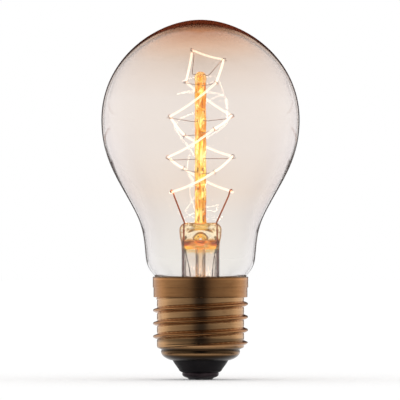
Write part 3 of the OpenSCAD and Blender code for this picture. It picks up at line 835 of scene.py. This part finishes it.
def exhaust_tube():
    """The tube, open at its top, with its lower end melted shut."""
    tip = bezier((EXHAUST_R, EXHAUST_TIP + 2.6), (EXHAUST_R, EXHAUST_TIP + 1.2), (0.9, EXHAUST_TIP),
                 (0, EXHAUST_TIP), 10)
    hollow = bezier((0, EXHAUST_TIP + 1.1), (0.5, EXHAUST_TIP + 1.2), (EXHAUST_BORE_R, EXHAUST_TIP + 1.8),
                    (EXHAUST_BORE_R, EXHAUST_TIP + 2.8), 8)
    outline = joined([(EXHAUST_R, EXHAUST_TOP)], tip, hollow, [(EXHAUST_BORE_R, EXHAUST_TOP)])
    return lathe("exhaust_glass", outline, 48, looped=True)


# The rod
ROD_R = 1.6
BUTTON_H = 2.6
BUBBLE_R = 0.78
BUBBLE_Z = ROD_TOP - 2.1
BUBBLE_TALL = 1.35  # its height over its width


def arbor_rod():
    """The rod, whose thickness wavers a little, from the press up to its button with a bubble."""
    z = np.linspace(PRESS_TOP - 0.3, ROD_TOP - BUTTON_H - 0.2, 90)
    r = ROD_R + 0.05 * np.sin(z * 0.9) + 0.03 * np.sin(z * 2.3 + 1)
    button = bezier((ROD_R + 0.05, ROD_TOP - BUTTON_H), (ROD_R + 0.25, ROD_TOP - 0.7), (1.0, ROD_TOP),
                    (0, ROD_TOP), 14)
    rod = lathe("arbor_rod", joined([(0, z[0])], np.stack([r, z], 1), button), 48)
    a = np.linspace(-math.pi / 2, math.pi / 2, 17)
    bubble = np.stack([BUBBLE_R * np.cos(a), BUBBLE_Z + BUBBLE_TALL * BUBBLE_R * np.sin(a)], 1)
    return bored(rod, lathe("bubble", bubble, 32))


# The filament's corners, as (angle, radius, height), and the wires that hold them
RIGHT_TIP = (0, 8.4, 52.4)
LEFT_TIP = (180, 7.9, 52.2)
CORNERS = [RIGHT_TIP, (123, 8.7, 58.7), (180, 9.0, 61.8), (-64, 8.7, 69.6), (0, 8.7, 73.3),
           (118, 8.6, 82.8), (180, 2.3, 92.0), (0, 6.5, 89.3), (-60, 8.7, 82.4), (180, 8.5, 73.1),
           (121, 8.7, 67.9), (0, 8.9, 62.0), (-64, 8.7, 57.7), LEFT_TIP]
SAG = 0.035  # a span's sag, as a share of its length
COIL_R = 0.34
TUNGSTEN_R = 0.08
COIL_PITCH = 0.4
COIL_STEPS = 10
CORNER_ROUND = 0.6  # distance from a corner at which the filament starts to turn
CORNER_CUT = 0.15  # distance by which the turn passes inside the corner
TAIL = 0.9  # length of the straight end past a curl or a fold
SUPPORT_Z = [57.7, 61.2, 68.6, 71.9, 81.9, 84.9, 84.6, 81.7, 71.7, 68.0, 61.4, 57.3]
SUPPORT_R = 0.09
SUPPORT_FOOT = 0.5  # distance from the axis at which a support wire ends in the rod
SUPPORT_BEND = 2.15  # distance from the axis at which it bends
CURL_R = 0.6
CURL_INSET = 0.05  # how far inside its corner a curl's middle lies
CURL_ENTRY = 0.7  # length of the straight stretch before a curl
CURL_RISE = 0.36  # distance that a curl's end stands beside its start
LEAD_R = 0.225
LEAD_X = 4.43  # distance of each seal wire from the axis
FOLD_R = 0.515
FOLD_TURN = 220
FOLD_LEAN = (0.33, 1.1)  # how far a lead leans towards its fold, and over what height
SEAL_WIRE_LO = 38.05
SEAL_WIRE_HI = 42.75
OUTER_LEAD_R = 0.13


def curl(centre, t, out, radius, start, turn, rise, steps):
    """Points of a curl about t round centre. It starts at an angle off out and moves by rise along t."""
    w = np.cross(t, out)
    up = -w if w[2] < 0 else w
    f = np.linspace(0, 1, steps + 1)[:, None]
    a = np.radians(start + turn * f)
    return centre + radius * (out * np.cos(a) + up * np.sin(a)) + t * rise * (f - 0.5)


POINTS = [polar(c) for c in CORNERS]
RIGHT_PULL = unit(POINTS[0] - POINTS[1])
LEFT_PULL = unit(POINTS[-1] - POINTS[-2])


def support_wire(i):
    """The wire that holds corner i: from inside the rod, round the filament, to a short tail."""
    angle = CORNERS[i][0]
    e = polar((angle, 1, 0))
    t = unit(POINTS[i + 1] - POINTS[i - 1])
    out = across(e, t)
    foot = np.array([0, 0, SUPPORT_Z[i - 1]])
    middle = POINTS[i] - out * CURL_INSET
    loop = curl(middle, t, out, CURL_R, start=-90, turn=360, rise=CURL_RISE, steps=28)
    bend = foot + e * SUPPORT_BEND
    entry = loop[0] - out * CURL_ENTRY
    lead_in = spline([foot + e * ROD_R, bend, (bend + entry) / 2, entry, loop[0]], 6)
    path = joined([foot + e * SUPPORT_FOOT], lead_in, loop,
                  [loop[-1] + out * TAIL / 2, loop[-1] + out * TAIL])
    return tube(f"hook_wire_{i:02d}", path, SUPPORT_R, 10)


def span(a, b):
    """The filament between two corners, sagging a little."""
    d = unit(b - a)
    a, b = a + d * CORNER_ROUND, b - d * CORNER_ROUND
    t = np.linspace(0, 1, 25)[:, None]
    return a + (b - a) * t - np.array([0, 0, 4 * SAG * np.linalg.norm(b - a)]) * t * (1 - t)


def filament_route():
    """The middle line of the filament's coil, from the right lead to the left one."""
    runs = [[POINTS[0] + RIGHT_PULL * TAIL, POINTS[0]]]
    for i in range(1, len(POINTS)):
        run = span(POINTS[i - 1], POINTS[i])
        if i > 1:
            last = runs[-1][-1]
            corner = POINTS[i - 1]
            middle = (POINTS[i - 2] + POINTS[i]) / 2
            turn = corner + unit(middle - corner) * CORNER_CUT
            runs.append(bezier(last, turn, turn, run[0], 6))
        runs.append(run)
    runs.append([POINTS[-1], POINTS[-1] + LEFT_PULL * TAIL])
    return joined(*runs)


def coiled_filament():
    route = filament_route()
    lengths = np.concatenate([[0], np.cumsum(np.linalg.norm(np.diff(route, axis=0), axis=1))])
    turns = round(lengths[-1] / COIL_PITCH)
    s = np.linspace(0, lengths[-1], COIL_STEPS * turns + 1)
    axis = np.stack([np.interp(s, lengths, route[:, k]) for k in range(3)], 1)
    t, u, v = frames(axis)
    phase = 2 * math.pi * s / COIL_PITCH
    wound = axis + (COIL_R - TUNGSTEN_R) * (u * np.cos(phase)[:, None] + v * np.sin(phase)[:, None])
    return tube("coiled_filament", wound, TUNGSTEN_R, 5)


# Each side's direction, the filament's end there and the way in which that end points
SIDES = {"left": (-1, POINTS[-1], LEFT_PULL), "right": (1, POINTS[0], RIGHT_PULL)}


def inner_lead(name):
    """A stiff wire from the press up to the filament's end, folded over it."""
    side, tip, pull = SIDES[name]
    out = across(np.array([side, 0, 0], float), pull)
    fold = curl(tip, pull, out, FOLD_R, start=180, turn=-FOLD_TURN, rise=0, steps=20)
    lean, height = FOLD_LEAN
    path = joined([[side * LEAD_X, 0, SEAL_WIRE_HI + 0.05], [side * LEAD_X, 0, PRESS_TOP - 0.3],
                   [side * (LEAD_X + 0.1), 0, PRESS_TOP + 0.2]],
                  [fold[0] - np.array([side * lean, 0, height])], fold)
    return tube("lead_" + name, path, LEAD_R, 14)


def seal_wire(name):
    side = SIDES[name][0]
    path = [[side * LEAD_X, 0, z] for z in np.linspace(SEAL_WIRE_LO, SEAL_WIRE_HI, 6)]
    return tube("copper_seal_" + name, path, LEAD_R, 14)


def outer_lead_centre():
    """The thin wire down from the left seal, through the cap, into the centre solder."""
    points = [[-LEAD_X, 0, 38], [-LEAD_X, 0, 37.4], [-4.25, 0, 36.2], [-4.1, 0, 35.2],
              [-3.75, 0, 33.7], [-3.7, 0, 33.4], [-3.2, 0, 31.2], [-2.95, 0, 30],
              [-2.7, 0, 27], [-2.5, 0, 22], [-2.3, 0, 16], [-1.9, 0, 13.2], [-1.2, 0, 11],
              [-0.3, 0, 9], [0, 0, 7.6], [0, 0, 6.5], [0, 0, 0.8]]
    return tube("feed_wire_centre", spline(points, 4), OUTER_LEAD_R, 10)


# Stage, in metres: floor, world, camera and the cards that only the glass and the brass show
BEHIND = 0.4  # distance from the lamp's axis back to the upright cards
FLOOR_SIZE = 3.0
ON_FLOOR = 0.0005
UNDER_FLOOR = -0.3
WING_TOP = 0.038
BLACK = (0.02, 0.018, 0.017)
BROWN = (0.06, 0.022, 0.016)
AMBER = (0.30, 0.09, 0.012)


def staged(name, points, faces, material):
    """A flat thing of the stage, which isn't part of the lamp."""
    mesh = bpy.data.meshes.new(name)
    mesh.from_pydata(points, [], faces)
    obj = bpy.data.objects.new(name, mesh)
    bpy.context.scene.collection.objects.link(obj)
    paint(obj, material)
    return obj


def floor():
    n = Surface("floor_white")
    n.set(Base_Color=(0.99, 0.99, 0.99), Roughness=0.9, Specular_IOR_Level=0.0)
    corners = [(x * FLOOR_SIZE, y * FLOOR_SIZE, 0) for x, y in ((-1, -1), (1, -1), (1, 1), (-1, 1))]
    staged("floor", corners, [(0, 1, 2, 3)], n.material)


def card(name, points, faces, uvs, shade, seen="glossy"):
    """A card that only one kind of ray shows, in the colour that shade makes of its two UV values."""
    n = Surface(name)
    uv = n.add("SeparateXYZ", {0: n.add("TexCoord").outputs["UV"]}).outputs
    n.set(Base_Color=(0, 0, 0), Specular_IOR_Level=0.0, Emission_Strength=1.0, Emission_Color=shade(n, uv))
    obj = staged(name, points, faces, n.material)
    layer = obj.data.uv_layers.new(name="UVMap")
    for loop in obj.data.loops:
        layer.data[loop.index].uv = uvs[loop.vertex_index]
    for kind in ("camera", "diffuse", "shadow", "glossy", "transmission"):
        setattr(obj, "visible_" + kind, kind == seen)


def flag(name, corners, colour, soft, seen="glossy", fading=0.98):
    """A dark card that fades to white over a soft share of its sides, and above a share of its height."""
    def shade(n, uv):
        reach = n.math("ABSOLUTE", n.math("SUBTRACT", uv["X"], 0.5))
        solid = n.math("MULTIPLY", n.spread(reach, 0.5 - soft, 0.5, (1, 0)),
                       n.spread(uv["Y"], fading, 1.0, (1, 0)))
        return n.mix(solid, (1, 1, 1), colour)
    card(name, corners, [(0, 1, 2, 3)], [(0, 0), (1, 0), (1, 1), (0, 1)], shade, seen)


def cove():
    """A cove round the front of the lamp that is dark in the middle, and darker above and below."""
    front = -90
    reach = 116
    white_from = 88
    columns = 48
    centre, radius, height = 0.02, 1.0, 4.0
    profile = [(centre, ON_FLOOR), (radius, ON_FLOOR), (radius, height), (centre, height)]
    rows = len(profile)
    points, uvs = [], []
    for i in range(columns + 1):
        a = math.radians(front - reach + 2 * reach * i / columns)
        for j, (r, z) in enumerate(profile):
            points.append((r * math.cos(a), r * math.sin(a), z))
            uvs.append((i / columns, j / (rows - 1)))
    faces = [(i * rows + j, (i + 1) * rows + j, (i + 1) * rows + j + 1, i * rows + j + 1)
             for i in range(columns) for j in range(rows - 1)]

    def shade(n, uv):
        angle = n.math("ABSOLUTE", n.math("SUBTRACT", uv["X"], 0.5))
        levels = ((0, (0.045, 0.053, 0.075)), (9, (0.055, 0.06, 0.08)), (18, (0.18, 0.18, 0.195)),
                  (27, (0.36,) * 3), (50, (0.50,) * 3), (80, (0.69,) * 3), (reach, (1.0,) * 3))
        side = n.ramp(angle, *((degrees / (2 * reach), colour) for degrees, colour in levels))
        rise = n.ramp(uv["Y"], *((place, (value,) * 3) for place, value in (
            (0, 0.15), (0.027, 0.28), (0.1, 0.5), (0.333, 0.95), (0.385, 1.0), (0.43, 0.85), (0.5, 0.65),
            (1.0, 0.6))))
        ends = n.spread(angle, white_from / (2 * reach), 0.5)
        return n.mix(ends, n.times(side, rise), (1, 1, 1))
    card("cove", points, faces, uvs, shade)


def upright(x0, x1, bottom, top):
    """The corners of a card that stands behind the lamp."""
    return [(x0, BEHIND, bottom), (x1, BEHIND, bottom), (x1, BEHIND, top), (x0, BEHIND, top)]


def level_card(x0, x1, near, far):
    """The corners of a card that lies on the floor."""
    return [(x0, near, ON_FLOOR), (x1, near, ON_FLOOR), (x1, far, ON_FLOOR), (x0, far, ON_FLOOR)]


def side_cards(name, side):
    """The dark cards on one side. The brass mirrors them, and the glass shows them at the bulb's edge."""
    flag("cap_flag_" + name, upright(side * 0.062, side * 0.19, UNDER_FLOOR, 0.046), BLACK, 0.12)
    flag("wing_" + name, upright(side * 0.09, side * 0.2, UNDER_FLOOR, WING_TOP), BROWN, 0.1,
         "transmission", 0.99)
    flag("high_wing_" + name, upright(side * 0.12, side * 0.5, WING_TOP, 0.05), AMBER, 0.15,
         "transmission", 0.8)
    flag("floor_flag_" + name, level_card(side * 0.04, side * 0.2, 0.25, 0.42), BLACK, 0.12)


def halo():
    """A ring behind the bulb, which its edge reflects: brown and far-reaching over the crown."""
    centre, inner = 0.072, 0.035
    half_sweep = 130
    outer_radius = ((0, 0.87), (12, 0.638), (25, 0.4495), (40, 0.34075), (60, 0.29), (90, 0.26825),
                    (110, 0.203), (half_sweep, 0.1885))
    points, uvs = [], []
    angles = np.linspace(-half_sweep, half_sweep, 105)
    for a in angles:
        outer = np.interp(abs(a), *zip(*outer_radius))
        side, up = math.sin(math.radians(a)), math.cos(math.radians(a))
        for share, r in ((0, inner), (1, outer)):
            points.append((r * side, BEHIND, centre + r * up))
            uvs.append((share, abs(a) / half_sweep))
    faces = [(2 * i, 2 * i + 1, 2 * i + 3, 2 * i + 2) for i in range(len(angles) - 1)]

    def shade(n, uv):
        core = n.ramp(uv["Y"], (0.1, (0.15, 0.03, 0.010)), (0.35, (0.05, 0.022, 0.015)),
                      (0.6, (0.03, 0.024, 0.024)))
        penumbra = n.ramp(uv["Y"], (0.1, (0.60, 0.30, 0.16)), (0.25, (0.80, 0.56, 0.42)),
                          (0.5, (0.75, 0.66, 0.60)))
        fringe = n.mix(n.spread(uv["X"], 0.7, 1.0), penumbra, (1, 1, 1))
        return n.mix(n.spread(uv["X"], 0.52, 0.62), core, fringe)
    card("halo", points, faces, uvs, shade)


def world():
    """White all round, a touch brighter as a light than where it is seen or mirrored."""
    light_level, seen_level = 1.03, 1.0
    studio = bpy.data.worlds.new("studio")
    studio.use_nodes = True
    bpy.context.scene.world = studio
    n = Nodes(studio.node_tree)
    ray = n.add("LightPath").outputs
    seen = n.math("MAXIMUM", ray["Is Camera Ray"], ray["Is Glossy Ray"])
    seen = n.math("MAXIMUM", seen, ray["Is Transmission Ray"])
    background = n.tree.nodes["Background"].inputs
    n.put(background["Color"], (1, 1, 1))
    n.put(background["Strength"], n.spread(seen, 0.0, 1.0, (light_level, seen_level), kind="LINEAR"))


def camera():
    """A long lens level with the middle of the lamp, half a pixel left of its axis."""
    pixel = 0.2779 * MM
    picture_width = 400
    offset = -0.5
    height = 49.9 * MM
    lens, sensor = 800.0, 36.0
    away = picture_width * pixel * lens / sensor
    data = bpy.data.cameras.new("camera")
    data.lens, data.sensor_width = lens, sensor
    data.clip_start, data.clip_end = 0.01, 100
    obj = bpy.data.objects.new("camera", data)
    bpy.context.scene.collection.objects.link(obj)
    obj.location = (offset * pixel, -away, height)
    obj.rotation_euler = (math.pi / 2, 0, 0)
    bpy.context.scene.camera = obj


camera()
world()
floor()
cove()
halo()
for name in SIDES:
    side_cards(name, SIDES[name][0])

# The lamp
dress(blown_bulb(), bulb_glass(), "glass_bulb")
dress(pressed_stem(), stem_glass(), "stem_flare")
dress(exhaust_tube(), exhaust_tube_glass(), "exhaust_tube")
dress(arbor_rod(), rod_glass(), "glass_rod")
molybdenum = wire("molybdenum", (0.38, 0.24, 0.19), 0.4)
for i in range(1, len(CORNERS) - 1):
    dress(support_wire(i), molybdenum, f"support_hook_{i:02d}")
dress(coiled_filament(), hot_tungsten(), "filament")
nickel = wire("warm_nickel", (0.54, 0.165, 0.07), 0.35)
for name in SIDES:
    dress(inner_lead(name), nickel, "inner_lead_" + name)
copper = wire("red_copper", (0.42, 0.075, 0.015), 0.4)
for name in SIDES:
    dress(seal_wire(name), copper, "seal_wire_" + name)
dull = wire("dull_copper", (0.10, 0.05, 0.04), 0.45)
dress(outer_lead_centre(), dull, "outer_lead_centre")
dress(screw_shell(), cap_brass(), "screw_shell")
dress(moulded_insulator(), black_glass(), "insulator")
dress(contact_plate(), plate_metal(), "centre_contact")
solder = solder_metal()
dress(solder_bead(), solder, "centre_solder")

# Three solids stay as they are and only get a better material
paint(frame["nodes"]["outer_lead_side"], dull)
paint(frame["nodes"]["side_solder"], solder)
paint(frame["nodes"]["basing_cement"], basing_cement())

bpy.context.scene.view_settings.view_transform = "Standard"
cycles = bpy.context.scene.cycles
cycles.max_bounces = 32
cycles.transmission_bounces = 32
cycles.glossy_bounces = 12
cycles.transparent_max_bounces = 32
